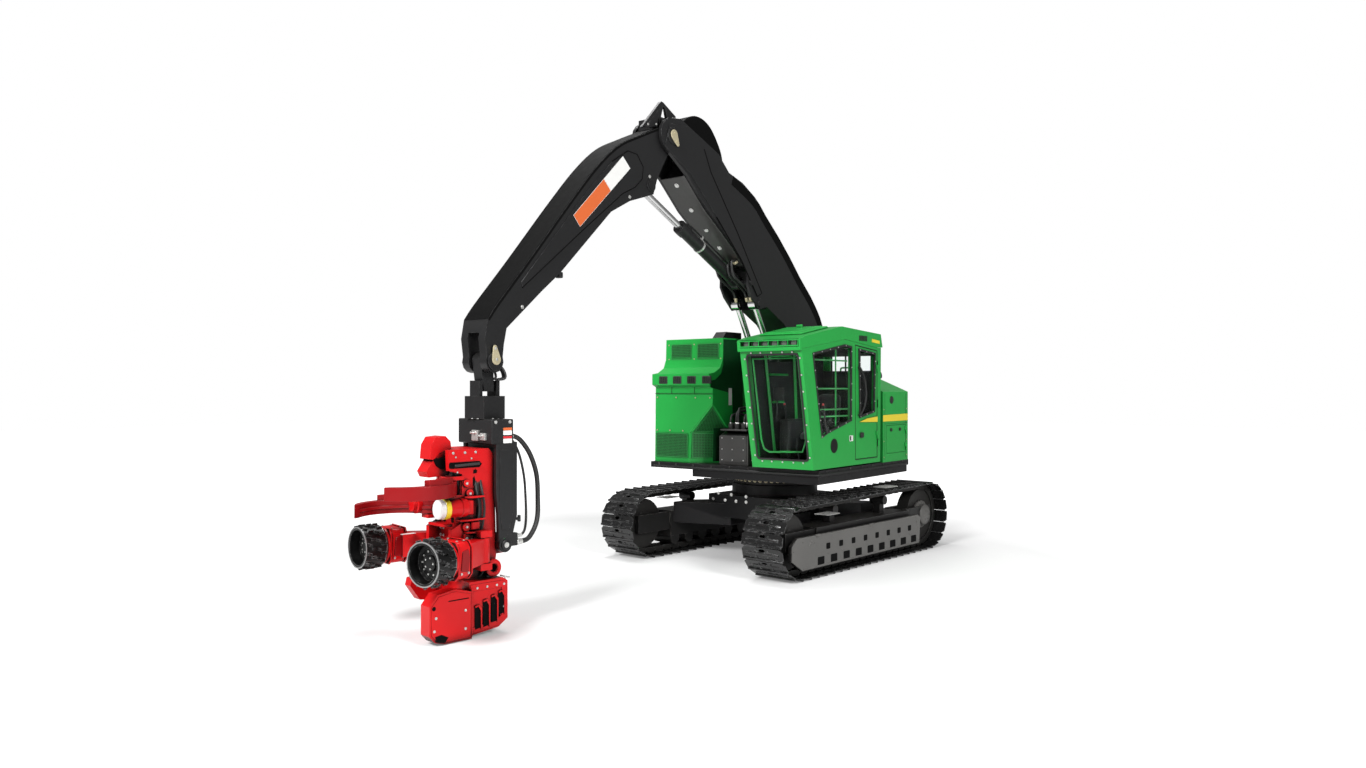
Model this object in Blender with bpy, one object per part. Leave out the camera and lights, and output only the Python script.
"""Tracked forestry harvester: undercarriage, swinging upper, boom, stick and hanging harvesting head.

Metres, +Z up. The machine faces -Y and its left side, with the cab, is +X. The upper stands turned on
the slew ring by UPPER_TURN. Every moving piece is parented to an empty on its joint's axis.
"""
import math

import bpy
import bmesh
from mathutils import Matrix, Vector

for old in list(bpy.data.objects):
    bpy.data.objects.remove(old, do_unlink=True)

# Gaps, plates and overruns that several pieces share
GAP = 0.0003
OVERRUN = 0.05
RUNNING_GAP = 0.008
PIN_PLAY = 0.0008
SHEET = 0.03
PLATE = 0.05
SMOOTH_ANGLE = math.radians(40)

# How the machine stands
UPPER_TURN = math.radians(4.2)
HEAD_TURN = math.radians(-8.0)
MACHINE_SHIFT = 2.4044
GROUND_DROP = 0.03

# Tracks and their frames
TRACK_GAUGE = 2.77
SHOE_WIDTH = 0.68
SHOE_COUNT = 54
TRACK_BAND = 0.13
GROUSER = 0.035
IDLER_Y, IDLER_OUTER = -1.68, 0.515
SPROCKET_Y, SPROCKET_OUTER = 1.98, 0.545
WHEEL_WIDTH = 0.20
WHEEL_GAP = 0.0036
WHEEL_HUB_SHARE = 0.45
HUB_HALF = 0.12
FRAME_WIDTH = 0.44
FRAME_BOTTOM, FRAME_TOP = 0.24, 0.64
FRAME_FRONT, FRAME_REAR = -1.18, 1.42
YOKE_THICK = 0.07
YOKE_REACH = 0.20
YOKE_HALF = 0.14
ROLLER_RADIUS = 0.10
ROLLER_COUNT = 8
ROLLER_END = 0.12
CARRIER_RADIUS = 0.07
CARRIER_POST = 0.06
CARRIER_PLACES = (-0.55, 0.85)
GUARD_THICK = 0.04
GUARD_INSET = 0.02
GUARD_BOTTOM, GUARD_TOP = 0.115, 0.57
GUARD_FRONT, GUARD_REAR = -1.93, 1.61
GUARD_SHARES = ((0, 0.3407), (0.0706, 0), (0.9887, 0), (1, 0.8901), (0.9746, 1), (0.0367, 1), (0, 0.7802))
GUARD_WEBS = 4
WEB_HALF = 0.02
# Rows of holes in the guard: count, height of the middle, width, height, first and last place along it
GUARD_HOLE_ROWS = (
    (9, 0.19, 0.11, 0.10, -1.23, 1.40),
    (8, 0.375, 0.07, 0.07, -1.05, 1.25),
)

# Carbody and slew ring
CARBODY_BOTTOM, CARBODY_TOP = 0.57, 0.92
CARBODY_HALF_X, CARBODY_HALF_Y = 0.72, 0.78
ARM_REACH_Y, ARM_DEPTH = 1.12, 0.42
ARM_BOTTOM, ARM_TOP = 0.45, 0.78
ARM_ROOT = 0.30
ARM_WAIST_SHARE = 0.8
ARM_EDGE_SHARE = 0.95
TURRET_RADIUS, TURRET_TOP = 0.68, 1.09
SLEW_RADIUS, SLEW_TOP, SLEW_WALL = 0.64, 1.22, 0.12

# Deck, counterweight and housings of the upper
DECK_LEFT, DECK_RIGHT = 1.50, -1.57
DECK_FRONT, DECK_REAR = -1.20, 1.73
DECK_BOTTOM, DECK_TOP = 1.33, 1.42
SILL_RIGHT = -0.75
SILL_INSET = 0.02
TAIL_REACH = 2.32
TAIL_BOTTOM, TAIL_TOP = 1.35, 2.30
TAIL_SHARES = (
    (0.9935, 0), (0.9609, 0.3726), (0.8208, 0.7626), (0.658, 1), (0.3648, 1), (0.202, 0.7626),
    (0.0391, 0.3726), (0.0065, 0))
BRACKET_Y = (-0.15, 1.62)
BRACKET_BOTTOM, BRACKET_TOP = 1.40, 2.17
BRACKET_SHARES = (
    (0, 0), (0.1977, 0.5584), (0.2918, 0.5189), (0.3326, 0.5578), (0.3757, 0.5358), (0.6723, 0.9617),
    (0.7301, 0.9998), (0.789, 0.9711), (0.835, 0.8822), (0.8575, 0.754), (0.8513, 0.6166), (1, 0))
BRACKET_GAP = 0.006
RIGHT_X = (-1.53, -0.40)
CABINET_FRONT, CABINET_BACK = -1.22, -0.30
CABINET_TOP = 3.37
CABINET_SHARES = (
    (0.0761, 0), (0.0978, 0.6051), (0, 0.6256), (0, 0.7128), (0.1522, 0.723), (0.3152, 0.7641),
    (0.3804, 0.8359), (0.3913, 1), (1, 1), (1, 0))
CORNER_X = (-0.93, -0.30)
CORNER_Y = (-1.25, -0.55)
CORNER_Z = (1.90, 2.58)
INTAKE_X = (-0.62, -0.42)
INTAKE_TOP = 3.47
INTAKE_SHARES = ((0.413, 0), (0.5217, 1), (0.9783, 1), (0.9783, 0))
HOOD_TOP = 2.75
HOOD_SETBACK = 0.02
ENGINE_DOOR = (0.10, 1.55, 1.50, 2.55)
ENGINE_LOW, ENGINE_HIGH = (-1.35, 0.0), (-0.70, 1.35)
ENGINE_TOP = 2.35
LEFT_X = (0.60, 1.50)
LEFT_FRONT = 0.80
LEFT_TOP = 2.75
LEFT_SHARES = ((0, 0), (1, 0), (1, 0.8345), (0.4222, 1), (0, 1))
LEFT_DOOR = (0.92, 1.55, 1.62, 2.00)
VALVE_X = (-0.30, 0.23)
VALVE_FRONT, VALVE_BACK, VALVE_TOP = -1.10, -0.45, 1.94
VALVE_SHARES = ((0, 0), (0, 0.8461), (0.3077, 1), (1, 1), (1, 0))
SEAM = 0.007
HINGE_OUT = 0.012
KNUCKLE_RADIUS, KNUCKLE_LENGTH = 0.011, 0.06
KNUCKLE_TAB, KNUCKLE_SINK = 0.04, 0.01
KNUCKLE_SHARES = (0.2, 0.8)

# Cab: every outline of it is given in shares of the box round its side view
CAB_X = (0.47, 1.49)
CAB_LOW, CAB_HIGH = (-1.73, 1.44), (0.79, 3.49)
CAB_WALL = 0.06
CAB_SHELL_SHARES = (
    (0.1548, 0), (0.0258, 0.8244), (0.5159, 0.9098), (0.9325, 0.8659), (0.9841, 0.8683), (0.9722, 0))
CAB_ROOF_SHARES = (
    (0.0276, 0.8122), (0.0079, 0.8122), (0, 0.8878), (0.0675, 0.9122), (0.4762, 1), (0.9762, 0.9707),
    (1, 0.8709), (0.9325, 0.8661), (0.5159, 0.91), (0.0256, 0.8247))
CAB_ROOM_SHARES = ((0.1786, 0.0293), (0.0437, 1), (0.9603, 1), (0.9484, 0.0293))
SIDE_WINDOW_SHARES = (
    (0.246, 0.2195), (0.1468, 0.7951), (0.5159, 0.8683), (0.5992, 0.8585), (0.5952, 0.3268),
    (0.3135, 0.2488))
FAR_WINDOW_SHARES = ((0.2341, 0.2488), (0.1548, 0.7756), (0.8651, 0.8098), (0.8651, 0.2488))
CAB_DOOR_SHARES = ((0.6468, 0.039), (0.6468, 0.8732), (0.9286, 0.8415), (0.9286, 0.039))
DOOR_WINDOW_SHARES = ((0.6984, 0.3463), (0.6865, 0.8439), (0.8968, 0.8195), (0.8849, 0.3854))
CAB_DOOR_THICK = 0.04
SCREEN_X = (0.575, 1.425)
SCREEN_Z = (1.57, 3.07)
SCREEN_BACK = -1.15
REAR_WINDOW_X = (0.62, 1.34)
REAR_WINDOW_Z = (2.75, 3.10)
REAR_WINDOW_Y = (0.36, 0.84)
GLASS = 0.01
GLASS_SETBACK = 0.012
FOOT_WIDTH = 0.1
FOOT_X, FOOT_Y = (0.55, 1.30), (-1.1, 0.5)
ROOF_OVERHANG = 0.01
LAMP_RECESS_X = (0.505, 1.475)
LAMP_RECESS_Z = (3.155, 3.265)
LAMP_RECESS_BACK = -1.64
LAMP_COUNT = 6
LAMP_WIDTH, LAMP_DEPTH = 0.12, 0.085
LAMP_STRIP = 0.012
SEAT_X = (0.75, 1.20)
SEAT_LOW, SEAT_HIGH = (-0.62, 1.80), (0.06, 2.55)
SEAT_SHARES = ((0.0294, 0), (0, 0.16), (0.6176, 0.1733), (0.8382, 1), (1, 1), (0.9412, 0))
SEAT_BASE_X, SEAT_BASE_Y = (0.85, 1.10), (-0.45, -0.10)

# Boom, stick and their cylinders, in the upper's side plane
BOOM_PIN = (1.15, 1.95)
STICK_PIN = (-2.95, 5.97)
LINK_PIN = (-6.00, 2.88)
BOOM_HALF, STICK_HALF = 0.26, 0.20
ARM_MEASURE = 1.0
BOOM_TIP, BOOM_FOOT = 0.24, 0.20
STICK_HEEL, STICK_TOE = 0.24, 0.125
FORK_REACH, EYE_REACH, LINK_REACH = 0.62, 0.26, 0.34
LINK_SLOT_HALF = 0.09
PIN_RADIUS, SMALL_PIN = 0.055, 0.044
PIN_SIDES = 16
PIN_END = 0.02
PIN_HEAD_SHARE = 1.5
BOOM_CYL_FOOT = (0.45, 1.70)
BOOM_CYL_EYE = (-0.82, 3.88)
BOOM_CYL_X = 0.155
STICK_CYL_FOOT = (-1.06, 4.17)
STICK_CYL_EYE = (-3.33, 5.25)
BARREL_RADIUS, ROD_RADIUS = 0.088, 0.048
BARREL_SHARE, ROD_START_SHARE = 0.62, 0.30
GLAND_SHARE, GLAND_LENGTH, GLAND_SETBACK = 1.15, 0.10, 0.04
EYE_RADIUS = 0.094
BORE_START = 0.12
EYE_WIDTH = 0.12
# Outlines along an arm: share of the way between its pins, share of ARM_MEASURE to its left
BOOM_SHARES = (
    (0.90, 0.10), (0.80, 0.07), (0.65, -0.10), (0.58, -0.13), (0.55, 0.06), (0.52, 0.10), (0.47, 0.08),
    (0.45, -0.10), (0.36, -0.28), (0.20, -0.32), (0.05, -0.16))
BOOM_BACK_SHARES = (
    (-0.0139, -0.2184), (0.0458, -0.5824), (0.1362, -0.9836), (0.2381, -1.1944), (0.3144, -1.2129),
    (0.3933, -1.1749), (0.4672, -1.1649), (0.5424, -1.1338), (0.6164, -1.0814), (0.6891, -1.0361),
    (0.7497, -0.9193), (0.8042, -0.7385), (0.8633, -0.7136), (1.0105, -0.3188))
HUMP_START_SHARE = 0.30
HUMP_HALF = 0.16
HUMP_SHARES = ((0.9867, -0.565), (0.9741, -0.7481), (0.9294, -0.9436), (0.8814, -0.9479), (0.8408, -0.9103))
STICK_SHARES = (
    (0.0192, -0.1985), (0.1167, -0.3569), (0.2175, -0.5011), (0.3347, -0.5469), (0.4911, -0.523),
    (0.7192, -0.4588), (0.8854, -0.421), (0.9408, -0.3943), (0.9817, -0.2753))
STICK_UNDER_SHARES = (
    (0.9478, -0.041), (0.9118, -0.1389), (0.7523, -0.0778), (0.6644, -0.0329), (0.5016, -0.0142),
    (0.3811, 0.0034), (0.2917, 0.1261), (0.2333, 0.255), (0.1894, 0.3482), (0.1404, 0.2506),
    (0.0458, 0.1543))
GABLE_Y = (-3.08, -3.0)
GABLE_HALF, GABLE_FOOT, GABLE_TOP = 0.19, 6.10, 6.46
GABLE_SHARES = ((0.0, 0.0), (0.0, 0.14), (0.34, 1.0), (0.66, 1.0), (1.0, 0.14), (1.0, 0.0))
GABLE_HOLE, GABLE_HOLE_Z = 0.045, 6.33

# Link and rotator, below the link pin
LINK_DROP, LINK_LEAN = 0.27, 0.03
LINK_HALF, LINK_EAR, LINK_LOWER = 0.07, 0.10, 0.06
CROSS_PIN = 0.035
ROTATOR_HALF_X, ROTATOR_HALF_Y = 0.16, 0.15
ROTATOR_DROPS = (0.36, 0.11)
ROTATOR_EAR_Y = (0.10, 0.145)
ROTATOR_EAR_HALF, ROTATOR_EAR_RISE, ROTATOR_EAR_SINK = 0.08, 0.06, 0.2
FLANGE_RADIUS, FLANGE_HEIGHT = 0.17, 0.04

# Harvesting head, in a frame whose origin lies on the rotator's axis
TILT_PIN = (0.04, 0.89)
TILT_PIN_RADIUS = 0.05
TILT_X = (0.28, 0.34)
TILT_FRONT, TILT_BACK = -0.13, 0.15
TILT_PLATE_BOTTOM = 1.98
TILT_END, TILT_ARM_BACK = 0.17, 0.20
TILT_ARM_FRONT = -0.07
TILT_WAIST = 1.30
HEAD_LOW, HEAD_HIGH = (-0.93, -0.02), (0.02, 2.08)
SPINE_HALF, HEAD_HALF = 0.22, 0.26
SPINE_SHARES = (
    (0.8316, 0.2762), (0.8316, 0.381), (0.8316, 0.5095), (0.8316, 0.9333), (0.4526, 0.9333),
    (0.4526, 0.819), (0.5053, 0.8095), (0.5053, 0.2762))
NOSE_HALF = 0.10
NOSE_SHARES = (
    (0.4526, 0.9333), (0.3263, 0.9143), (0.2421, 0.8762), (0.1684, 0.8238), (0.2, 0.7952), (0.4526, 0.8))
TILT_BOSS = 0.12
CHEEK_SHARES = (
    (0.3368, 0.9333), (0.8526, 0.9333), (0.9263, 0.9), (0.9579, 0.381), (0.9263, 0.2952),
    (0.8316, 0.2762), (0.4737, 0.2762), (0.3684, 0.3143), (0.3789, 0.5333), (0.5053, 0.5619),
    (0.5105, 0.8095), (0.3474, 0.8286))
CHEEK_SLOT_SHARES = (
    (0.4211, 0.8405), (0.3895, 0.8548), (0.4211, 0.869), (0.7368, 0.869), (0.7684, 0.8548),
    (0.7368, 0.8405))
HOOD_HALF, HOOD_WALL = 0.11, 0.02
HOOD_SHARES = (
    (0.2053, 0.8857), (0.2211, 0.9571), (0.2737, 0.9952), (0.4, 1), (0.4632, 0.9714), (0.4737, 0.9335),
    (0.4523, 0.9335), (0.326, 0.9148), (0.2526, 0.8819))
HOOD_HOLLOW_SHARES = (
    (0.2263, 0.819), (0.2421, 0.9476), (0.2842, 0.981), (0.3474, 0.981), (0.3263, 0.9286),
    (0.2789, 0.8667))
KNIFE_PIN_X, KNIFE_PIN_Y, KNIFE_PIN = 0.20, -0.55, 0.035
KNIFE_HUB = 0.085
KNIFE_LUG_FRONT, KNIFE_LUG_BACK, KNIFE_LUG_HALF = -0.62, -0.42, 0.07
KNIFE_LUG_THICK = 0.04
# Knives: side, sign, underside, top
KNIVES = (("left", 1, 1.47, 1.61), ("right", -1, 1.24, 1.38))
CLAW_LOW, CLAW_HIGH = (0.0, -1.36), (0.62, -0.50)
CLAW_OUTER_SHARES = (
    (0.3226, 1.0407), (0.4597, 0.9767), (0.7097, 0.8372), (0.8871, 0.6512), (0.9516, 0.4419),
    (0.871, 0.2326), (0.7097, 0.0814), (0.5161, 0))
CLAW_INNER_SHARES = (
    (0.5484, 0.0698), (0.6774, 0.186), (0.75, 0.3372), (0.7419, 0.5), (0.6452, 0.6512), (0.4677, 0.7674),
    (0.2742, 0.843), (0.1855, 0.9419))
CLAW_STEPS = 2
BLADE_THICK, BLADE_REACH = 0.03, 0.03
RIB_RISE = 0.06
RIB_SHARES = (
    (0.5484, 0.814), (0.7097, 0.814), (0.9032, 0.5814), (0.9032, 0.4302), (0.8065, 0.3953),
    (0.7903, 0.5349), (0.6774, 0.686))
FEED_PIN_X, FEED_PIN_Y, FEED_PIN = 0.36, -0.25, 0.035
FEED_HUB = 0.07
FEED_Z = (0.74, 1.00)
FEED_LUG_THICK = 0.07
FEED_REACH = 0.60
FEED_ARM_SHARES = ((0.8333, 0.4706), (1.1667, 0.5147))
# Drums: side, sign, place of the middle of the back, turn of the axis in degrees
DRUMS = (("left", 1, (0.642, -0.917), 14.0), ("right", -1, (-0.700, -0.910), 0.0))
DRUM_Z = 0.87
DRUM_LENGTH = 0.24
DRUM_RADIUS, DRUM_CORE = 0.245, 0.215
DRUM_CUP, DRUM_BACK_CUP = 0.185, 0.16
DRUM_WEB = (0.12, 0.08)
DRUM_BARS = 14
BAR_SHARES = ((0.0, 0.0), (0.08, 1.0), (0.38, 1.0), (0.46, 0.0))
DRUM_HUB, DRUM_HUB_HEIGHT = 0.12, 0.03
MOTOR_RADIUS, MOTOR_BACK, MOTOR_FRONT = 0.12, 0.26, -0.06
SHAFT_RADIUS = 0.045
EYE_PLACE = (-0.11, 0.66)
EYE_RING, EYE_HOLE, EYE_OUT = 0.088, 0.045, 0.35
SAW_PANEL_X = (0.275, 0.45)
SAW_PANEL_SHARES = (
    (0.5158, 0), (0.1789, 0), (0.0632, 0.0143), (0, 0.0476), (0, 0.1905), (0.0947, 0.2429),
    (0.3053, 0.2571), (0.5158, 0.2333))
SAW_REAR_X = (-0.32, 0.42)
SAW_REAR_SHARES = (
    (0.5053, 0.0095), (0.8737, 0.0286), (1, 0.0667), (1, 0.2571), (0.9368, 0.276), (0.5053, 0.276))
SAW_NOSE_X = (-0.32, -0.20)
SAW_NOSE_SHARES = ((0.5263, 0.1429), (0.2632, 0.1619), (0.1474, 0.2381), (0.1684, 0.276), (0.5263, 0.276))
SAW_SLOT_LOW, SAW_SLOT_HIGH = (-0.40, -0.90, 0.17), (0.41, -0.05, 0.21)
# Pockets in the saw box's right side: place along it, underside, top
SAW_POCKETS = ((-0.30, 0.05, 0.27), (-0.20, 0.06, 0.31), (-0.09, 0.13, 0.36))
POCKET_HALF, POCKET_DEPTH = 0.018, 0.03
BAR_PIN_X, BAR_PIN_Y, BAR_PIN = 0.34, -0.20, 0.025
BAR_Z = (0.183, 0.197)
BAR_TIP, BAR_HALF, BAR_NOSE = -0.88, 0.042, 0.07

# Hoses: name, thickness, steps to each stretch, route
HOSES = (
    ("hose_thick", 0.02, 3, (
        (0.20, 0.22, 2.06), (0.20, 0.33, 2.01), (0.20, 0.46, 1.85), (0.20, 0.55, 1.62), (0.20, 0.57, 1.36),
        (0.24, 0.53, 1.10), (0.28, 0.40, 0.93), (0.31, 0.27, 0.90))),
    ("hose_thin", 0.013, 4, (
        (0.10, 0.20, 2.06), (0.11, 0.28, 2.01), (0.12, 0.37, 1.85), (0.13, 0.43, 1.60), (0.15, 0.44, 1.34),
        (0.20, 0.41, 1.13), (0.27, 0.34, 1.01), (0.31, 0.26, 0.97))),
)

# Finishes: colour, roughness, metallic
MATERIALS = {
    "green": ((0.015, 0.30, 0.045), 0.35, 0.0),
    "black": ((0.02, 0.02, 0.02), 0.45, 0.2),
    "boom_grey": ((0.035, 0.035, 0.035), 0.4, 0.3),
    "track_steel": ((0.03, 0.03, 0.03), 0.5, 0.6),
    "frame_grey": ((0.07, 0.07, 0.07), 0.5, 0.3),
    "chrome": ((0.8, 0.8, 0.8), 0.15, 1.0),
    "red": ((0.60, 0.01, 0.02), 0.35, 0.0),
    "glass": ((0.05, 0.06, 0.06), 0.05, 0.0),
    "rubber": ((0.02, 0.02, 0.02), 0.7, 0.0),
    "fabric": ((0.04, 0.04, 0.04), 0.9, 0.0),
    "iron": ((0.12, 0.12, 0.12), 0.6, 0.8),
}

parts = bpy.data.collections.new("forestry_harvester")
cutters = bpy.data.collections.new("cutters")
for group in (parts, cutters):
    bpy.context.scene.collection.children.link(group)


def finish(name):
    """Principled material of one of the machine's finishes."""
    found = bpy.data.materials.get(name)
    if found:
        return found
    colour, roughness, metallic = MATERIALS[name]
    made = bpy.data.materials.new(name)
    made.use_nodes = True
    shader = made.node_tree.nodes["Principled BSDF"]
    shader.inputs["Base Color"].default_value = (*colour, 1.0)
    shader.inputs["Roughness"].default_value = roughness
    shader.inputs["Metallic"].default_value = metallic
    return made


class Body:
    """An empty on a joint's axis. Points are given in the frame of its assembly and made local to it."""

    def __init__(self, name, pivot=(0, 0, 0), parent=None, turn=0.0, new_frame=False):
        self.pivot = Vector(pivot)
        self.empty = bpy.data.objects.new(name, None)
        parts.objects.link(self.empty)
        if parent:
            self.empty.parent = parent.empty
            self.empty.location = self.pivot - parent.pivot
        else:
            self.empty.location = self.pivot
        self.empty.rotation_euler = (0, 0, turn)
        if new_frame:
            self.pivot = Vector((0, 0, 0))

    def hold(self, obj, place=(0, 0, 0)):
        """Parent an object to the body at a point of the assembly's frame."""
        obj.parent = self.empty
        obj.location = Vector(place) - self.pivot
        return obj


def dress(obj, colour, cutter):
    """Put an object in its collection, with its material or as a hidden tool of a Boolean."""
    (cutters if cutter else parts).objects.link(obj)
    if cutter:
        obj.hide_render = True
        obj.display_type = "WIRE"
    else:
        obj.data.materials.clear()
        obj.data.materials.append(finish(colour))
    return obj


def mesh_object(name, bm, colour, cutter=False):
    """Object of a finished mesh, shaded smooth between its sharp edges."""
    mesh = bpy.data.meshes.new(name)
    bm.to_mesh(mesh)
    bm.free()
    mesh.shade_smooth()
    mesh.set_sharp_from_angle(angle=SMOOTH_ANGLE)
    return dress(bpy.data.objects.new(name, mesh), colour, cutter)


def block(name, body, low, high, colour="black", cutter=False):
    """Box between two corners."""
    low, high = (Vector(pick(pair) for pair in zip(low, high)) for pick in (min, max))
    bm = bmesh.new()
    bmesh.ops.create_cube(bm, size=1.0)
    bmesh.ops.scale(bm, vec=high - low, verts=bm.verts)
    return body.hold(mesh_object(name, bm, colour, cutter), (low + high) / 2)


AXIS_TURN = {
    "X": Matrix.Rotation(math.pi / 2, 4, "Y"),
    "Y": Matrix.Rotation(-math.pi / 2, 4, "X"),
    "Z": Matrix.Identity(4),
}


def cylinder(name, body, centre, radius, length, axis="X", sides=24, colour="black", cutter=False):
    """Round bar along a named axis or a direction, about its centre."""
    bm = bmesh.new()
    bmesh.ops.create_cone(bm, cap_ends=True, segments=sides, radius1=radius, radius2=radius, depth=length)
    if isinstance(axis, str):
        turn = AXIS_TURN[axis]
    else:
        turn = Vector((0, 0, 1)).rotation_difference(Vector(axis)).to_matrix().to_4x4()
    bmesh.ops.transform(bm, matrix=turn, verts=bm.verts)
    return body.hold(mesh_object(name, bm, colour, cutter), centre)


def bore(name, body, centre, radius, length, axis="X"):
    """Cutter whose flats stand PIN_PLAY off a pin of the radius, however the pin is turned."""
    wide = (radius + PIN_PLAY) / math.cos(math.pi / PIN_SIDES)
    return cylinder(name, body, centre, wide, length, axis, PIN_SIDES, cutter=True)


def pin(name, body, centre, radius, length, axis="X"):
    """Round bar to be welded on, with the sides that bores are cut for."""
    return cylinder(name, body, centre, radius, length, axis, PIN_SIDES, cutter=True)


VIEWS = {
    "side": Matrix(((0, 0, 1, 0), (1, 0, 0, 0), (0, 1, 0, 0), (0, 0, 0, 1))),
    "front": Matrix(((1, 0, 0, 0), (0, 0, -1, 0), (0, 1, 0, 0), (0, 0, 0, 1))),
    "plan": Matrix.Identity(4),
}


def outline(name, body, points, low, high, view="side", colour="black", cutter=False, holes=()):
    """Flat outline made solid between two depths: side is (y, z) along x, plan is (x, y) along z,
    front is (x, z) along y."""
    curve = bpy.data.curves.new(name, "CURVE")
    curve.dimensions = "2D"
    curve.fill_mode = "BOTH"
    curve.extrude = abs(high - low) / 2
    for loop in (points, *holes):
        spline = curve.splines.new("POLY")
        spline.points.add(len(loop) - 1)
        for point, (a, b) in zip(spline.points, loop):
            point.co = (a, b, 0, 1)
        spline.use_cyclic_u = True
    drawn = bpy.data.objects.new(name + "_drawn", curve)
    cutters.objects.link(drawn)
    bpy.context.view_layer.update()
    mesh = bpy.data.meshes.new_from_object(drawn.evaluated_get(bpy.context.evaluated_depsgraph_get()))
    bpy.data.objects.remove(drawn)
    middle = (low + high) / 2
    shift = {"side": (middle, 0, 0), "front": (0, middle, 0), "plan": (0, 0, middle)}[view]
    bm = bmesh.new()
    bm.from_mesh(mesh)
    bpy.data.meshes.remove(mesh)
    bmesh.ops.remove_doubles(bm, verts=bm.verts, dist=GAP / 10)
    bmesh.ops.transform(bm, matrix=VIEWS[view], verts=bm.verts)
    bmesh.ops.translate(bm, vec=Vector(shift) - body.pivot, verts=bm.verts)
    bmesh.ops.recalc_face_normals(bm, faces=bm.faces)
    obj = mesh_object(name, bm, colour, cutter)
    obj.parent = body.empty
    return obj


def hull(name, body, points):
    """Convex cutter round a list of points."""
    bm = bmesh.new()
    for point in points:
        bm.verts.new(Vector(point) - body.pivot)
    made = bmesh.ops.convex_hull(bm, input=bm.verts)
    inside = {item for item in made["geom_interior"] + made["geom_unused"]
              if isinstance(item, bmesh.types.BMVert)}
    bmesh.ops.delete(bm, geom=list(inside), context="VERTS")
    bmesh.ops.recalc_face_normals(bm, faces=bm.faces)
    obj = mesh_object(name, bm, "black", True)
    obj.parent = body.empty
    return obj


def smooth(points, steps):
    """Points along a curve through the given ones, steps to each stretch."""
    points = [Vector(point) for point in points]
    ends = [2 * points[0] - points[1], *points, 2 * points[-1] - points[-2]]
    path = []
    for a, b, c, d in zip(ends, ends[1:], ends[2:], ends[3:]):
        for i in range(steps):
            t = i / steps
            bend = 2 * b + (c - a) * t + (2 * a - 5 * b + 4 * c - d) * t ** 2
            path.append((bend + (3 * b - 3 * c + d - a) * t ** 3) / 2)
    return [*path, points[-1]]


def tube(name, body, points, radius, colour):
    """Bent hose through a list of points."""
    curve = bpy.data.curves.new(name, "CURVE")
    curve.dimensions = "3D"
    curve.bevel_depth = radius
    curve.bevel_resolution = 2
    curve.use_fill_caps = True
    curve.resolution_u = 1
    spline = curve.splines.new("POLY")
    spline.points.add(len(points) - 1)
    for point, place in zip(spline.points, points):
        point.co = (*(Vector(place) - body.pivot), 1)
    obj = dress(bpy.data.objects.new(name, curve), colour, False)
    obj.parent = body.empty
    return obj


def join(target, others, operation):
    """Live Booleans of target with other objects."""
    for other in others:
        step = target.modifiers.new(operation.lower(), "BOOLEAN")
        step.operation = operation
        step.object = other
        step.solver = "EXACT"
    return target


def cut(target, *others):
    return join(target, others, "DIFFERENCE")


def weld(target, *others):
    return join(target, others, "UNION")


def rect(a0, b0, a1, b1):
    return [(a0, b0), (a1, b0), (a1, b1), (a0, b1)]


def arc(centre, radius, start, end, steps):
    """Points on a circle from one angle to another, in degrees."""
    turns = [math.radians(start + (end - start) * i / steps) for i in range(steps + 1)]
    return [(centre[0] + radius * math.cos(t), centre[1] + radius * math.sin(t)) for t in turns]


def along(foot, tip, shares):
    """Points given as (share of the way from foot to tip, share of ARM_MEASURE to its left)."""
    foot, tip = Vector(foot), Vector(tip)
    way = tip - foot
    side = Vector((-way.y, way.x)).normalized() * ARM_MEASURE
    return [tuple(foot + way * s + side * t) for s, t in shares]


def within(low, high, shares):
    """Points given as shares of the way between two corners."""
    return [tuple(a + (b - a) * s for a, b, s in zip(low, high, pair)) for pair in shares]


def inset(points, depth):
    """The outline with every edge moved inwards."""
    turn = sum(a[0] * b[1] - b[0] * a[1] for a, b in zip(points, [*points[1:], points[0]]))
    moved = []
    for before, here, after in zip([points[-1], *points[:-1]], points, [*points[1:], points[0]]):
        into, out = Vector(here) - Vector(before), Vector(after) - Vector(here)
        first, second = (Vector((-way.y, way.x)).normalized() * math.copysign(1, turn)
                         for way in (into, out))
        corner = (first + second) / (1 + first.dot(second))
        moved.append(tuple(Vector(here) + corner * depth))
    return moved


def mirrored(points, sign):
    """Plan points of the left side, or their mirror image on the right."""
    return [(sign * point[0], *point[1:]) for point in points]


def track_loop(offset, bump=0.0):
    """Outline of the track at an offset inside its outer face, each shoe a flat with a raised bar."""
    r0, r1 = IDLER_OUTER - offset, SPROCKET_OUTER - offset
    front = Vector((IDLER_Y, IDLER_OUTER - GROUND_DROP))
    rear = Vector((SPROCKET_Y, SPROCKET_OUTER - GROUND_DROP))
    way = rear - front
    lean = math.atan2(way.y, way.x)
    tilt = math.asin((r1 - r0) / way.length)
    top, low = lean + math.pi / 2 + tilt, lean - math.pi / 2 - tilt
    straight = way.length * math.cos(tilt)
    wraps = ((front, r0, top, low), (rear, r1, low, top))
    lengths = (r0 * (low + math.tau - top), straight, r1 * (top - low), straight)

    def spot(distance, lift):
        index = 0
        while index < 3 and distance >= lengths[index]:
            distance -= lengths[index]
            index += 1
        centre, radius, start, end = wraps[index // 2]
        rolled = start + distance / radius if index % 2 == 0 else end
        out = Vector((math.cos(rolled), math.sin(rolled)))
        run = 0 if index % 2 == 0 else distance
        return tuple(centre + out * (radius + lift) + Vector((-out.y, out.x)) * run)

    pitch = sum(lengths) / SHOE_COUNT
    shoe = ((0.03, 0.0), (0.06, 1.0), (0.20, 1.0), (0.26, 0.45), (0.90, 0.45), (0.97, 0.0))
    plain = ((0.0, 0.0), (0.5, 0.0))
    return [spot((i + s) * pitch, lift * bump) for i in range(SHOE_COUNT) for s,
            lift in (shoe if bump else plain)]


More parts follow.
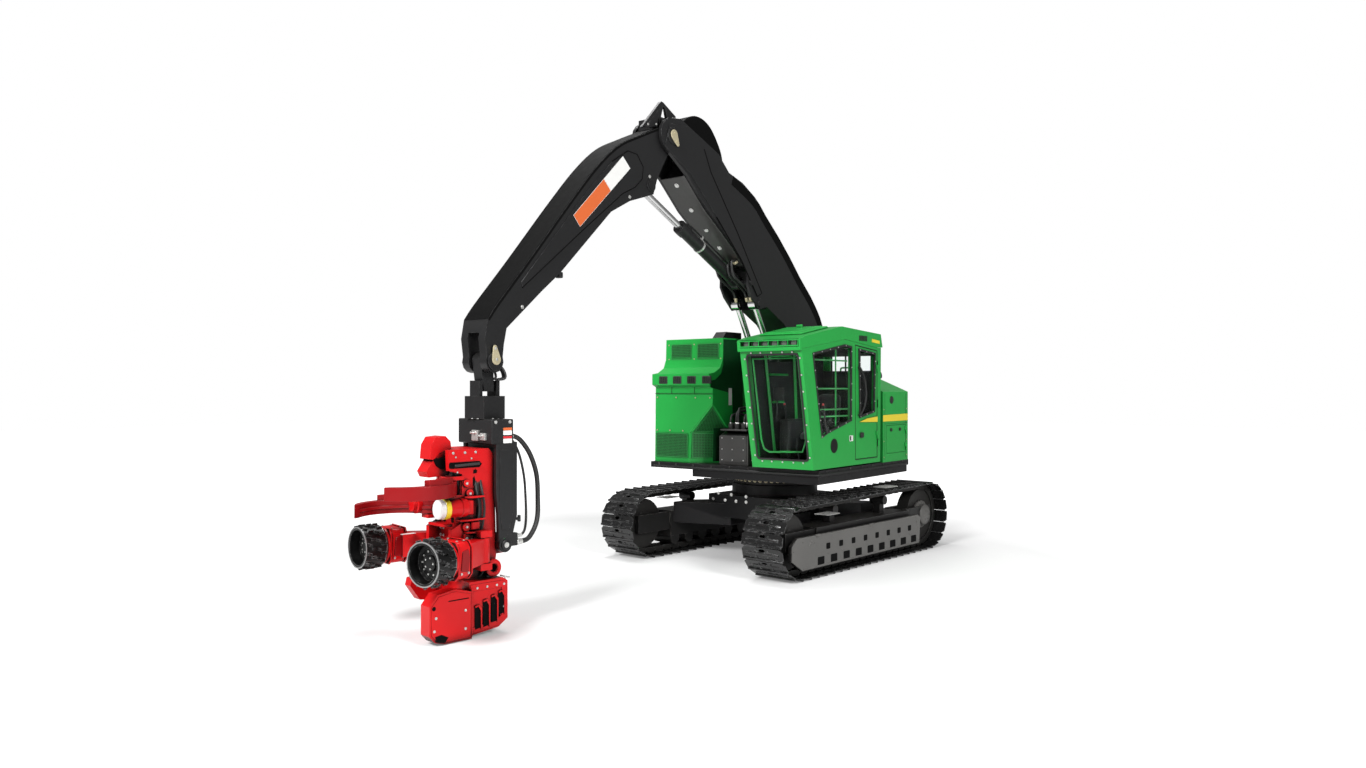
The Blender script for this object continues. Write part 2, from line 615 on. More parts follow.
root = Body("undercarriage", (0, MACHINE_SHIFT, GROUND_DROP), new_frame=True)
upper = Body("upperstructure", (0, 0, 0), root, UPPER_TURN, new_frame=True)


def build_carbody():
    """Middle of the undercarriage with the arms to the track frames, and the slew ring on it."""
    reach = TRACK_GAUGE / 2 - FRAME_WIDTH / 2 - GAP
    edge, waist = CARBODY_HALF_Y * ARM_EDGE_SHARE, CARBODY_HALF_X * ARM_WAIST_SHARE
    box = rect(-CARBODY_HALF_X, -CARBODY_HALF_Y, CARBODY_HALF_X, CARBODY_HALF_Y)
    carbody = outline("carbody", root, box, CARBODY_BOTTOM, CARBODY_TOP, "plan", "black")
    for sign in (-1, 1):
        arms = mirrored([
            (ARM_ROOT, ARM_ROOT), (ARM_ROOT, edge), (reach, ARM_REACH_Y), (reach, ARM_REACH_Y - ARM_DEPTH),
            (waist, 0), (reach, ARM_DEPTH - ARM_REACH_Y), (reach, -ARM_REACH_Y), (ARM_ROOT, -edge),
            (ARM_ROOT, -ARM_ROOT)], sign)
        weld(carbody, outline(f"carbody_arms_{sign}", root, arms, ARM_BOTTOM, ARM_TOP, "plan", cutter=True))
    weld(carbody, cylinder("turret", root, (0, 0, (CARBODY_TOP - OVERRUN + TURRET_TOP) / 2), TURRET_RADIUS,
                           TURRET_TOP - CARBODY_TOP + OVERRUN, "Z", 32, cutter=True))
    ring = cylinder("slew_ring", root, (0, 0, (TURRET_TOP + GAP + SLEW_TOP) / 2), SLEW_RADIUS,
                    SLEW_TOP - TURRET_TOP - GAP, "Z", 48, "iron")
    cut(ring, cylinder("slew_bore", root, (0, 0, SLEW_TOP), SLEW_RADIUS - SLEW_WALL,
                       4 * (SLEW_TOP - TURRET_TOP), "Z", 48, cutter=True))


def build_track(side, sign):
    """One track loop with its wheels and frame."""
    middle, half = sign * TRACK_GAUGE / 2, SHOE_WIDTH / 2
    outline("track_" + side, root, track_loop(GROUSER, GROUSER), middle - half, middle + half,
            colour="track_steel", holes=[track_loop(TRACK_BAND)])
    for name, y, outer in (("idler_", IDLER_Y, IDLER_OUTER), ("sprocket_", SPROCKET_Y, SPROCKET_OUTER)):
        place = (middle, y, outer - GROUND_DROP)
        wheel = cylinder(name + side, root, place, outer - TRACK_BAND - WHEEL_GAP, WHEEL_WIDTH, "X", 28,
                         "iron")
        weld(wheel, cylinder(name + side + "_hub", root, place, (outer - TRACK_BAND) * WHEEL_HUB_SHARE,
                             2 * HUB_HALF, "X", 20, cutter=True))
    build_frame(side, sign, middle)


def build_frame(side, sign, middle):
    """Track frame: box beam, yokes beside the wheels, rollers and the outer guard with its holes."""
    half = FRAME_WIDTH / 2
    beam = outline("track_frame_" + side, root, rect(FRAME_FRONT, FRAME_BOTTOM, FRAME_REAR, FRAME_TOP),
                   middle - half, middle + half, colour="frame_grey")
    yokes = (("front", FRAME_FRONT + OVERRUN, IDLER_Y - YOKE_REACH, IDLER_OUTER - GROUND_DROP),
             ("rear", FRAME_REAR - OVERRUN, SPROCKET_Y + YOKE_REACH, SPROCKET_OUTER - GROUND_DROP))
    for edge in (-1, 1):
        for name, near, far, height in yokes:
            weld(beam, outline(f"yoke_{name}_{side}_{edge}", root, rect(near, height - YOKE_HALF, far,
                                                                        height + YOKE_HALF), middle
                               + edge * (HUB_HALF + GAP), middle + edge * (HUB_HALF + YOKE_THICK),
                               cutter=True))
    first, last = FRAME_FRONT + ROLLER_END, FRAME_REAR - ROLLER_END
    for i in range(ROLLER_COUNT):
        y = first + i * (last - first) / (ROLLER_COUNT - 1)
        place = (middle, y, TRACK_BAND + ROLLER_RADIUS + GAP - GROUND_DROP)
        weld(beam, cylinder(f"roller_{side}_{i}", root, place, ROLLER_RADIUS, FRAME_WIDTH - GUARD_THICK,
                            "X", 14, cutter=True))
    for i, y in enumerate(CARRIER_PLACES):
        share = (y - IDLER_Y) / (SPROCKET_Y - IDLER_Y)
        under = 2 * (IDLER_OUTER + (SPROCKET_OUTER - IDLER_OUTER) * share) - TRACK_BAND - GROUND_DROP
        z = under - CARRIER_RADIUS - GAP
        weld(beam, cylinder(f"carrier_{side}_{i}", root, (middle, y, z), CARRIER_RADIUS, 2 * HUB_HALF, "X",
                            14, cutter=True), block(f"carrier_post_{side}_{i}", root,
                                                    (middle - CARRIER_POST, y - CARRIER_POST,
                                                     FRAME_TOP - OVERRUN),
                                                    (middle + CARRIER_POST, y + CARRIER_POST, z),
                                                    cutter=True))
    build_guard(beam, side, sign, middle + sign * (SHOE_WIDTH / 2 - GUARD_INSET))


def build_guard(beam, side, sign, face):
    """Outer guard plate on the beam's webs, with its rows of holes."""
    plate = within((GUARD_FRONT, GUARD_BOTTOM), (GUARD_REAR, GUARD_TOP), GUARD_SHARES)
    weld(beam, outline("guard_" + side, root, plate, face - sign * GUARD_THICK, face, cutter=True))
    root_x = sign * (TRACK_GAUGE + FRAME_WIDTH) / 2 - sign * WEB_HALF
    first, last = FRAME_FRONT + ROLLER_END, FRAME_REAR - ROLLER_END
    for i in range(GUARD_WEBS):
        y = first + i * (last - first) / (GUARD_WEBS - 1)
        weld(beam, block(f"guard_web_{side}_{i}", root, (root_x, y - WEB_HALF, FRAME_BOTTOM + OVERRUN),
                         (face - sign * GUARD_THICK / 2, y + WEB_HALF, FRAME_TOP - 2 * OVERRUN),
                         cutter=True))
    for row, (count, z, width, height, first, last) in enumerate(GUARD_HOLE_ROWS):
        for i in range(count):
            y = first + i * (last - first) / (count - 1)
            low = (face - 2 * sign * GUARD_THICK, y - width / 2, z - height / 2)
            high = (face + sign * GUARD_THICK, y + width / 2, z + height / 2)
            cut(beam, block(f"guard_hole_{side}_{row}_{i}", root, low, high, cutter=True))


def build_deck():
    """Main frame of the upper with the boom's brackets, and the counterweight behind it."""
    deck = outline("deck", upper, rect(DECK_RIGHT, DECK_FRONT, DECK_LEFT, DECK_REAR), DECK_BOTTOM, DECK_TOP,
                   "plan", "black")
    sill = rect(SILL_RIGHT, DECK_FRONT + SILL_INSET, DECK_LEFT - SILL_INSET, DECK_REAR - SILL_INSET)
    weld(deck, outline("sill", upper, sill, SLEW_TOP + GAP, DECK_BOTTOM + OVERRUN, "plan", cutter=True))
    plate = within((BRACKET_Y[0], BRACKET_BOTTOM), (BRACKET_Y[1], BRACKET_TOP), BRACKET_SHARES)
    for sign in (-1, 1):
        inner = sign * (BOOM_HALF + BRACKET_GAP)
        weld(deck, outline(f"foot_bracket_{sign}", upper, plate, inner, inner + sign * PLATE, cutter=True))
    length = 2 * (BOOM_HALF + PLATE)
    weld(deck, pin("boom_foot_pin", upper, (0, *BOOM_PIN), PIN_RADIUS, length),
         pin("cylinder_foot_pin", upper, (0, *BOOM_CYL_FOOT), SMALL_PIN, length))
    tail = within((DECK_RIGHT, DECK_REAR + GAP), (DECK_LEFT, TAIL_REACH), TAIL_SHARES)
    outline("counterweight", upper, tail, TAIL_BOTTOM, TAIL_TOP, "plan", "black")


def housing(name, points, low, high, view):
    """Sheet housing that is open underneath, and the cutter of its inside."""
    shell = outline(name, upper, points, low, high, view, "green")
    foot = min(b for a, b in points)
    room = [(a, foot - OVERRUN if b < foot + 2 * SHEET else b) for a, b in inset(points, SHEET)]
    hollow = outline(name + "_hollow", upper, room, low + SHEET, high - SHEET, view, cutter=True)
    cut(shell, hollow)
    return shell, hollow


def hang_door(host, name, opening, face, sign, thick, wall):
    """Cut a door's opening through a side wall and hang the door on two knuckles behind it."""
    inner, outer = face - sign * wall, face
    cut(host, outline(name + "_opening", upper, opening, inner - sign * OVERRUN, outer + sign * OVERRUN,
                      cutter=True))
    y = max(point[0] for point in opening)
    hinge = Body(name + "_hinge", (face + sign * HINGE_OUT, y, 0), upper)
    door = outline(name, hinge, inset(opening, SEAM), face - sign * thick, face, colour="green")
    low, high = min(point[1] for point in opening), max(point[1] for point in opening)
    for i, share in enumerate(KNUCKLE_SHARES):
        z = low + (high - low) * share
        for piece, way, lift in ((door, -1, 0.5), (host, 1, -0.5)):
            middle = z + lift * (KNUCKLE_LENGTH + GAP)
            tab = block(f"{name}_tab_{i}_{way}", upper, (face - sign * KNUCKLE_SINK, y + way * GAP,
                                                         middle - KNUCKLE_LENGTH / 2),
                        (face + sign * HINGE_OUT, y + way * KNUCKLE_TAB, middle + KNUCKLE_LENGTH / 2),
                        cutter=True)
            knuckle = cylinder(f"{name}_knuckle_{i}_{way}", upper, (face + sign * HINGE_OUT, y, middle),
                               KNUCKLE_RADIUS, KNUCKLE_LENGTH, "Z", 12, cutter=True)
            weld(piece, tab, knuckle)
    return hinge, door


def build_right_side():
    """Tall front cabinet with its cut corner, and the engine's hood behind it."""
    floor = DECK_TOP + GAP
    profile = within((CABINET_FRONT, floor), (CABINET_BACK, CABINET_TOP), CABINET_SHARES)
    cabinet, hollow = housing("right_cabinet", profile, *RIGHT_X, "side")
    feet = [(x, y) for x, y in ((CORNER_X[0], CORNER_Y[0]), (CORNER_X[1], CORNER_Y[1]),
                                (CORNER_X[1], CORNER_Y[0]))]
    corner = [(x, y, z) for x, y in feet for z in (DECK_TOP - OVERRUN, CORNER_Z[0])]
    corner.append((CORNER_X[1], CORNER_Y[0], CORNER_Z[1]))
    inward = Vector((-SHEET, SHEET, SHEET))
    cut(hollow, hull("right_cabinet_inner_corner", upper, [Vector(point) + inward for point in corner]))
    cut(cabinet, hull("right_cabinet_corner", upper, corner))
    outline("air_intake", upper, within((CABINET_FRONT, CABINET_TOP + GAP), (CABINET_BACK, INTAKE_TOP),
                                        INTAKE_SHARES), *INTAKE_X)
    hood, _ = housing("engine_hood", rect(CABINET_BACK + GAP, floor, DECK_REAR - HOOD_SETBACK, HOOD_TOP),
                      *RIGHT_X, "side")
    hang_door(hood, "engine_door", rect(*ENGINE_DOOR), RIGHT_X[0], -1, SHEET, SHEET)
    block("engine_block", upper, (*ENGINE_LOW, floor), (*ENGINE_HIGH, ENGINE_TOP), "iron")


def build_left_side():
    """Rear cabinet with its side door, and the valve box under the boom."""
    floor = DECK_TOP + GAP
    profile = within((LEFT_X[0], floor), (LEFT_X[1], LEFT_TOP), LEFT_SHARES)
    cabinet, _ = housing("left_cabinet", profile, LEFT_FRONT, DECK_REAR - HOOD_SETBACK, "front")
    hang_door(cabinet, "left_cabinet_door", rect(*LEFT_DOOR), LEFT_X[1], 1, SHEET, SHEET)
    outline("valve_box", upper, within((VALVE_FRONT, floor), (VALVE_BACK, VALVE_TOP), VALVE_SHARES),
            *VALVE_X, colour="frame_grey")


def build_cab():
    """Hollow cab with its openings, panes, door, roof, lamps and seat."""
    def side(shares):
        return within(CAB_LOW, CAB_HIGH, shares)

    def pane(name, points, body, face):
        outline(name, body, inset(points, GAP), face, face + GLASS, colour="glass")

    near, far = CAB_X[1] - CAB_WALL, CAB_X[0] + CAB_WALL
    cab = outline("cab_shell", upper, side(CAB_SHELL_SHARES), *CAB_X, colour="green")
    cut(cab, outline("cab_room", upper, side(CAB_ROOM_SHARES), far, near, cutter=True))
    window, far_window = side(SIDE_WINDOW_SHARES), side(FAR_WINDOW_SHARES)
    cut(cab, outline("windscreen_opening", upper, rect(SCREEN_X[0], SCREEN_Z[0], SCREEN_X[1], SCREEN_Z[1]),
                     CAB_LOW[0], SCREEN_BACK, "front", cutter=True),
        outline("rear_window_opening", upper, rect(REAR_WINDOW_X[0], REAR_WINDOW_Z[0], REAR_WINDOW_X[1],
                                                   REAR_WINDOW_Z[1]), *REAR_WINDOW_Y, "front", cutter=True),
        outline("side_window_opening", upper, window, near - OVERRUN, CAB_X[1] + OVERRUN, cutter=True),
        outline("far_window_opening", upper, far_window, CAB_X[0] - OVERRUN, far + OVERRUN, cutter=True))
    for i, x in enumerate(FOOT_X):
        for j, y in enumerate(FOOT_Y):
            weld(cab, block(f"cab_foot_{i}_{j}", upper, (x, y, DECK_TOP + GAP),
                            (x + FOOT_WIDTH, y + FOOT_WIDTH, CAB_LOW[1] + OVERRUN / 2), cutter=True))
    pane("side_window", window, upper, CAB_X[1] - GLASS_SETBACK - GLASS)
    pane("far_window", far_window, upper, CAB_X[0] + GLASS_SETBACK)
    hinge, door = hang_door(cab, "cab_door", side(CAB_DOOR_SHARES), CAB_X[1], 1, CAB_DOOR_THICK, CAB_WALL)
    door_window = side(DOOR_WINDOW_SHARES)
    cut(door, outline("door_pane_opening", hinge, door_window, near - OVERRUN, CAB_X[1] + OVERRUN,
                      cutter=True))
    pane("door_window", door_window, hinge, CAB_X[1] - GLASS_SETBACK - GLASS)
    build_windscreen(side(CAB_SHELL_SHARES))
    build_roof(side(CAB_ROOF_SHARES))
    outline("seat", upper, within(SEAT_LOW, SEAT_HIGH, SEAT_SHARES), *SEAT_X, colour="fabric")
    outline("seat_base", upper, rect(SEAT_BASE_Y[0], CAB_LOW[1] + CAB_WALL + GAP, SEAT_BASE_Y[1],
                                     SEAT_LOW[1] - GAP), *SEAT_BASE_X)


def build_windscreen(shell):
    """Pane parallel to the cab's sloped face, whose corners are the shell's first two points."""
    (foot_y, foot_z), (top_y, top_z) = shell[:2]
    ends = [(foot_y + (top_y - foot_y) * (z - foot_z) / (top_z - foot_z) + GLASS_SETBACK, z)
            for z in (SCREEN_Z[0] + GAP, SCREEN_Z[1] - GAP)]
    outline("windscreen", upper, [*ends, *[(y + GLASS, z) for y, z in reversed(ends)]], SCREEN_X[0] + GAP,
            SCREEN_X[1] - GAP, colour="glass")


def build_roof(profile):
    """Roof with the recess over its front rail, and the row of lamps that stands in it."""
    roof = outline("cab_roof", upper, profile, CAB_X[0] - ROOF_OVERHANG, CAB_X[1] + ROOF_OVERHANG,
                   colour="green")
    cut(roof, block("lamp_recess", upper, (LAMP_RECESS_X[0], CAB_LOW[0] - OVERRUN, LAMP_RECESS_Z[0]),
                    (LAMP_RECESS_X[1], LAMP_RECESS_BACK, LAMP_RECESS_Z[1]), cutter=True))
    back = LAMP_RECESS_BACK - GAP
    low, high = LAMP_RECESS_Z[0] + GAP, LAMP_RECESS_Z[1] - RUNNING_GAP
    lamps = block("roof_lamps", upper, (LAMP_RECESS_X[0] + GAP, back - LAMP_STRIP, low),
                  (LAMP_RECESS_X[1] - GAP, back, low + LAMP_STRIP))
    step = (LAMP_RECESS_X[1] - LAMP_RECESS_X[0]) / LAMP_COUNT
    for i in range(LAMP_COUNT):
        x = LAMP_RECESS_X[0] + (i + 0.5) * step
        weld(lamps, block(f"roof_lamp_{i}", upper, (x - LAMP_WIDTH / 2, back - LAMP_DEPTH, low),
                          (x + LAMP_WIDTH / 2, back - LAMP_STRIP / 2, high), cutter=True))


def eye_pin(host, name, body, place, half):
    """Heads of the pin that carries a rod's eye, outside the fork; the eye holds the pin itself."""
    for sign in (-1, 1):
        weld(host, cylinder(f"{name}_{sign}", body, (sign * half, *place), SMALL_PIN * PIN_HEAD_SHARE,
                            2 * PIN_END, "X", PIN_SIDES, cutter=True))


def build_boom():
    """Boom with its fork for the stick and slots for the cylinders, and the hose guard on its back."""
    body = Body("boom_hinge", (0, *BOOM_PIN), upper)
    back = along(BOOM_PIN, STICK_PIN, BOOM_BACK_SHARES)
    boom = outline("boom", body, [
        *arc(STICK_PIN, BOOM_TIP, 90, 260, 8), *along(BOOM_PIN, STICK_PIN, BOOM_SHARES),
        *arc(BOOM_PIN, BOOM_FOOT, 200, 350, 6), *back], -BOOM_HALF, BOOM_HALF, colour="boom_grey")
    play = STICK_HALF + RUNNING_GAP
    lug_half = BOOM_CYL_X + EYE_WIDTH / 2 + RUNNING_GAP
    slot = [*arc(BOOM_CYL_EYE, EYE_REACH, -135, 45, 9), *arc(STICK_CYL_FOOT, EYE_REACH, 45, 225, 9)]
    cut(boom, outline("boom_fork_slot", body, arc(STICK_PIN, FORK_REACH, 0, 330, 22), -play, play,
                      cutter=True), outline("lug_slot", body, slot, -lug_half, lug_half, cutter=True),
        bore("boom_foot_bore", body, (0, *BOOM_PIN), PIN_RADIUS, 4 * BOOM_HALF))
    length = 2 * (BOOM_HALF + PIN_END)
    weld(boom, pin("stick_pin", body, (0, *STICK_PIN), PIN_RADIUS, length),
         pin("barrel_pin", body, (0, *STICK_CYL_FOOT), SMALL_PIN, length))
    eye_pin(boom, "boom_rod_pin", body, BOOM_CYL_EYE, BOOM_HALF)
    first, second, third = along(BOOM_PIN, STICK_PIN, [(s, t - GAP) for s, t in BOOM_BACK_SHARES[-1:-4:-1]])
    start = tuple(Vector(first).lerp(Vector(second), HUMP_START_SHARE))
    outline("boom_hose_guard", body, [*along(BOOM_PIN, STICK_PIN, HUMP_SHARES), third, second, start],
            -HUMP_HALF, HUMP_HALF)
    return body


def build_stick(boom_body):
    """Stick with its forks for the cylinder and the link, and the gable plate on its heel."""
    body = Body("stick_hinge", (0, *STICK_PIN), boom_body)
    stick = outline("stick", body, [
        *arc(STICK_PIN, STICK_HEEL, -80, 90, 8), *along(STICK_PIN, LINK_PIN, STICK_SHARES),
        *arc(LINK_PIN, STICK_TOE, 155, 385, 8), *along(STICK_PIN, LINK_PIN, STICK_UNDER_SHARES)],
        -STICK_HALF, STICK_HALF, colour="boom_grey")
    gable = outline("gable", body, within((-GABLE_HALF, GABLE_FOOT), (GABLE_HALF, GABLE_TOP), GABLE_SHARES),
                    *GABLE_Y, "front", cutter=True)
    middle = (0, sum(GABLE_Y) / 2, GABLE_HOLE_Z)
    cut(gable, cylinder("gable_hole", body, middle, GABLE_HOLE, 4 * PLATE, "Y", 12, cutter=True))
    eye_half = EYE_WIDTH / 2 + RUNNING_GAP
    weld(stick, gable)
    cut(stick, bore("stick_bore", body, (0, *STICK_PIN), PIN_RADIUS, 4 * STICK_HALF),
        outline("link_fork_slot", body, arc(LINK_PIN, LINK_REACH, 0, 330, 15), -LINK_SLOT_HALF,
                LINK_SLOT_HALF, cutter=True), outline("rod_eye_slot", body,
                                                      arc(STICK_CYL_EYE, EYE_REACH, 0, 330, 11), -eye_half,
                                                      eye_half, cutter=True))
    weld(stick, pin("link_pin", body, (0, *LINK_PIN), PIN_RADIUS, 2 * (STICK_HALF + PIN_END)))
    eye_pin(stick, "stick_rod_pin", body, STICK_CYL_EYE, STICK_HALF)
    return body


def build_ram(name, foot, eye, x, parent):
    """Hydraulic cylinder: a barrel that turns on its foot pin, and a rod that slides in it with its eye."""
    foot, eye = Vector(foot), Vector(eye)
    way, length = (eye - foot).normalized(), (eye - foot).length
    barrel_body = Body(name + "_barrel_hinge", (0, *foot), parent)
    rod_body = Body(name + "_rod_slide", (0, *foot), barrel_body)
    axis = Vector((0, way.x, way.y))
    barrel_end, rod_start = BARREL_SHARE * length, ROD_START_SHARE * length

    def bar(label, body, start, end, radius, colour="black", cutter=True):
        place = (x, *(foot + way * (start + end) / 2))
        return cylinder(name + label, body, place, radius, end - start, axis, 20, colour, cutter)

    gland = barrel_end - GLAND_SETBACK
    barrel = bar("_cylinder", barrel_body, PIN_RADIUS, barrel_end, BARREL_RADIUS, cutter=False)
    weld(barrel, cylinder(name + "_foot_eye", barrel_body, (x, *foot), EYE_RADIUS, EYE_WIDTH, "X", 18,
                          cutter=True), bar("_gland", barrel_body, gland - GLAND_LENGTH / 2, gland
                                            + GLAND_LENGTH / 2, BARREL_RADIUS * GLAND_SHARE))
    cut(barrel, bar("_bore", barrel_body, BORE_START, barrel_end + OVERRUN, ROD_RADIUS + PIN_PLAY),
        bore(name + "_foot_bore", barrel_body, (x, *foot), SMALL_PIN, 2 * EYE_WIDTH))
    rod = bar("_rod", rod_body, rod_start, length - PIN_RADIUS, ROD_RADIUS, "chrome", False)
    weld(rod, cylinder(name + "_rod_eye", rod_body, (x, *eye), EYE_RADIUS, EYE_WIDTH, "X", 18, cutter=True),
         pin(name + "_eye_pin", rod_body, (x, *eye), SMALL_PIN, EYE_WIDTH + RUNNING_GAP))


def build_link(stick_body):
    """Link and rotator that hang the head from the stick, each on its own pin."""
    y, cross_z = LINK_PIN[0] + LINK_LEAN, LINK_PIN[1] - LINK_DROP
    link_body = Body("link_hinge", (0, *LINK_PIN), stick_body)
    link = outline("link", link_body, [*arc(LINK_PIN, LINK_EAR, 20, 160, 6),
                                       (y - LINK_HALF, cross_z - LINK_LOWER),
                                       (y + LINK_HALF, cross_z - LINK_LOWER)], -LINK_HALF, LINK_HALF)
    cut(link, bore("link_bore", link_body, (0, *LINK_PIN), PIN_RADIUS, 4 * LINK_HALF),
        bore("cross_bore", link_body, (0, y, cross_z), CROSS_PIN, 4 * LINK_HALF, "Y"))
    cross = Body("cross_hinge", (0, y, cross_z), link_body)
    low, high = (cross_z - drop for drop in ROTATOR_DROPS)
    rotator = block("rotator", cross, (-ROTATOR_HALF_X, y - ROTATOR_HALF_Y, low),
                    (ROTATOR_HALF_X, y + ROTATOR_HALF_Y, high))
    for sign in (-1, 1):
        inner, outer = (y + sign * reach for reach in ROTATOR_EAR_Y)
        weld(rotator, block(f"rotator_ear_{sign}", cross, (-ROTATOR_EAR_HALF, inner,
                                                           cross_z - ROTATOR_EAR_SINK),
                            (ROTATOR_EAR_HALF, outer, cross_z + ROTATOR_EAR_RISE), cutter=True))
    weld(rotator, pin("cross_pin", cross, (0, y, cross_z), CROSS_PIN, 2 * ROTATOR_EAR_Y[1], "Y"))
    return Body("rotator_spin", (0, y, 0), cross, HEAD_TURN, new_frame=True), low - GAP


def build_tilt_frame(turn, top):
    """Frame under the rotator whose two arms carry the head's tilt pin, and the hoses down its back."""
    frame = block("tilt_frame", turn, (-TILT_X[1], TILT_FRONT, TILT_PLATE_BOTTOM),
                  (TILT_X[1], TILT_BACK, top))
    weld(frame, cylinder("rotor_flange", turn, (0, 0, top - FLANGE_HEIGHT / 2), FLANGE_RADIUS,
                         FLANGE_HEIGHT, "Z", 24, cutter=True))
    end = math.degrees(math.acos((TILT_ARM_BACK - TILT_PIN[0]) / TILT_END))
    arm = [(TILT_ARM_FRONT, top - OVERRUN), (TILT_ARM_FRONT, TILT_WAIST),
           *arc(TILT_PIN, TILT_END, 190, 360 - end, 6), (TILT_ARM_BACK, TILT_WAIST),
           (TILT_BACK, top - OVERRUN)]
    for sign in (-1, 1):
        weld(frame, outline(f"tilt_arm_{sign}", turn, arm, sign * TILT_X[0], sign * TILT_X[1], cutter=True))
    weld(frame, pin("tilt_pin", turn, (0, *TILT_PIN), TILT_PIN_RADIUS, 2 * (TILT_X[1] + PIN_END)))
    for name, radius, steps, route in HOSES:
        (x0, _, z0), (x1, _, z1) = route[0], route[-1]
        tube(name, turn, [(x0, TILT_BACK + GAP, z0), *smooth(route, steps), (x1, TILT_ARM_BACK + GAP, z1)],
             radius, "rubber")


def build_head_frame(tilt):
    """Spine and side cheeks of the head, with the lugs and pins that carry its knives and feed arms."""
    def side(shares):
        return within(HEAD_LOW, HEAD_HIGH, shares)

    boss = side(SPINE_SHARES)
    body = outline("head_frame", tilt, [*boss[:2], *arc(TILT_PIN, TILT_BOSS, -60, 60, 4), *boss[2:]],
                   -SPINE_HALF, SPINE_HALF, colour="red")
    weld(body, outline("nose", tilt, side(NOSE_SHARES), -NOSE_HALF, NOSE_HALF, cutter=True))
    for sign in (-1, 1):
        cheek = outline(f"cheek_{sign}", tilt, side(CHEEK_SHARES), sign * (SPINE_HALF - PIN_END),
                        sign * HEAD_HALF, cutter=True)
        weld(body, cut(cheek, outline(f"cheek_slot_{sign}", tilt, side(CHEEK_SLOT_SHARES),
                                      sign * (SPINE_HALF + GAP), sign * (HEAD_HALF + OVERRUN),
                                      cutter=True)))
        add_feed_lugs(body, tilt, sign)
    for side_name, sign, low, high in KNIVES:
        x = sign * KNIFE_PIN_X
        for name, bottom, top in (("under", low - RUNNING_GAP - KNIFE_LUG_THICK, low - RUNNING_GAP),
                                  ("over", high + RUNNING_GAP, high + RUNNING_GAP + KNIFE_LUG_THICK)):
            weld(body, block(f"knife_lug_{side_name}_{name}", tilt,
                             (x - KNIFE_LUG_HALF, KNIFE_LUG_FRONT, bottom),
                             (x + KNIFE_LUG_HALF, KNIFE_LUG_BACK, top), cutter=True))
        weld(body, pin(f"knife_pin_{side_name}", tilt, (x, KNIFE_PIN_Y, (low + high) / 2), KNIFE_PIN,
                       high - low + KNIFE_LUG_THICK, "Z"))
    ring = cylinder("eye_ring", tilt, ((SPINE_HALF + EYE_OUT) / 2, *EYE_PLACE), EYE_RING,
                    EYE_OUT - SPINE_HALF, "X", 20, cutter=True)
    weld(body, ring)
    cut(body, cylinder("eye_hole", tilt, (EYE_OUT, *EYE_PLACE), EYE_HOLE, 2 * (EYE_OUT - HEAD_HALF) - GAP,
                       "X", 14, cutter=True), bore("tilt_bore", tilt, (0, *TILT_PIN), TILT_PIN_RADIUS,
                                                   4 * HEAD_HALF))
    hood = outline("top_knife", tilt, side(HOOD_SHARES), -HOOD_HALF, HOOD_HALF, colour="red")
    cut(hood, outline("top_knife_hollow", tilt, side(HOOD_HOLLOW_SHARES), HOOD_WALL - HOOD_HALF,
                      HOOD_HALF - HOOD_WALL, cutter=True))


def add_feed_lugs(body, tilt, sign):
    """Lugs above and below a feed arm's hub, with the pin through it."""
    root_x, x = sign * (SPINE_HALF + PIN_END), sign * FEED_PIN_X
    for name, near, far in (("under", FEED_Z[0] - RUNNING_GAP, -FEED_LUG_THICK),
                            ("over", FEED_Z[1] + RUNNING_GAP, FEED_LUG_THICK)):
        weld(body, block(f"feed_lug_{sign}_{name}", tilt, (root_x, FEED_PIN_Y - FEED_HUB, near),
                         (x + sign * FEED_HUB, FEED_PIN_Y + FEED_HUB, near + far), cutter=True))
    weld(body, pin(f"feed_pin_{sign}", tilt, (x, FEED_PIN_Y, sum(FEED_Z) / 2), FEED_PIN,
                   FEED_Z[1] - FEED_Z[0] + FEED_LUG_THICK, "Z"))


def build_knives(tilt):
    """Curved delimbing knives: a claw with a thin cutting edge inside it and a rib over its root."""
    for side, sign, low, high in KNIVES:
        body = Body(f"knife_{side}_hinge", (sign * KNIFE_PIN_X, KNIFE_PIN_Y, low), tilt)
        outer = [tuple(point) for point in smooth(within(CLAW_LOW, CLAW_HIGH, CLAW_OUTER_SHARES),
                                                  CLAW_STEPS)]
        inner = [tuple(point) for point in smooth(within(CLAW_LOW, CLAW_HIGH, CLAW_INNER_SHARES),
                                                  CLAW_STEPS)]
        knife = outline(f"knife_{side}", body, mirrored([*outer, *inner], sign), low, high, "plan", "red")
        blade = [(x - BLADE_REACH, y) for x, y in inner[1:-1]]
        middle = (low + high) / 2
        weld(knife, outline(f"blade_{side}", body, mirrored([*inner[:1], *blade, *inner[-1:], *outer[1:-1]],
                                                            sign), middle - BLADE_THICK / 2, middle
                            + BLADE_THICK / 2, "plan", cutter=True),
             outline(f"knife_rib_{side}", body, mirrored(within(CLAW_LOW, CLAW_HIGH, RIB_SHARES), sign),
                     middle, high + RIB_RISE, "plan", cutter=True))
        cut(knife, bore(f"knife_bore_{side}", body, (sign * KNIFE_PIN_X, KNIFE_PIN_Y, middle), KNIFE_PIN,
                        4 * (high - low), "Z"))


